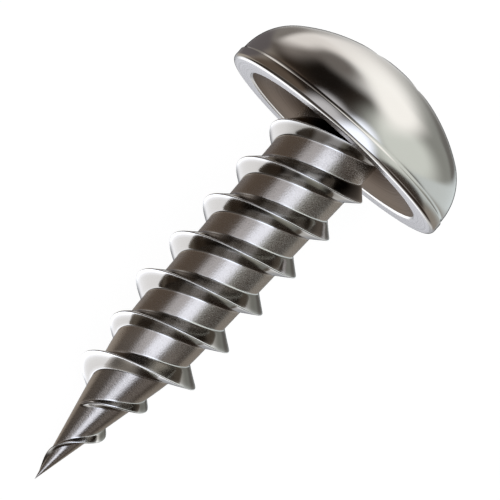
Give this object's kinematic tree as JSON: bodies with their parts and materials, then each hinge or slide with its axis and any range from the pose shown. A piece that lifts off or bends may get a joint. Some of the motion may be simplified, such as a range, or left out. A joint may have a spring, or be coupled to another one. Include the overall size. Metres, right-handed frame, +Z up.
{
  "type": "pan head screw",
  "caption": "Pan head self-tapping screw with a deep domed head, a hollow under the head, a cross recess and a twin-start thread that runs to a sharp point.",
  "frame": {"origin": "on the floor, under the middle of the lying screw's box", "axes": "+X from the head towards the tip, along the floor; +Z up; the screw lies on its rim and on its thread, with its axis falling about 15.7 degrees towards the tip"},
  "size_m": [0.0228, 0.0112, 0.011],
  "materials": {
    "steel": "bright nickel-plated steel, polished on the head, satin on the shank"
  },
  "bodies": {
    "root": {"screw": "steel"}
  },
  "joints": []
}
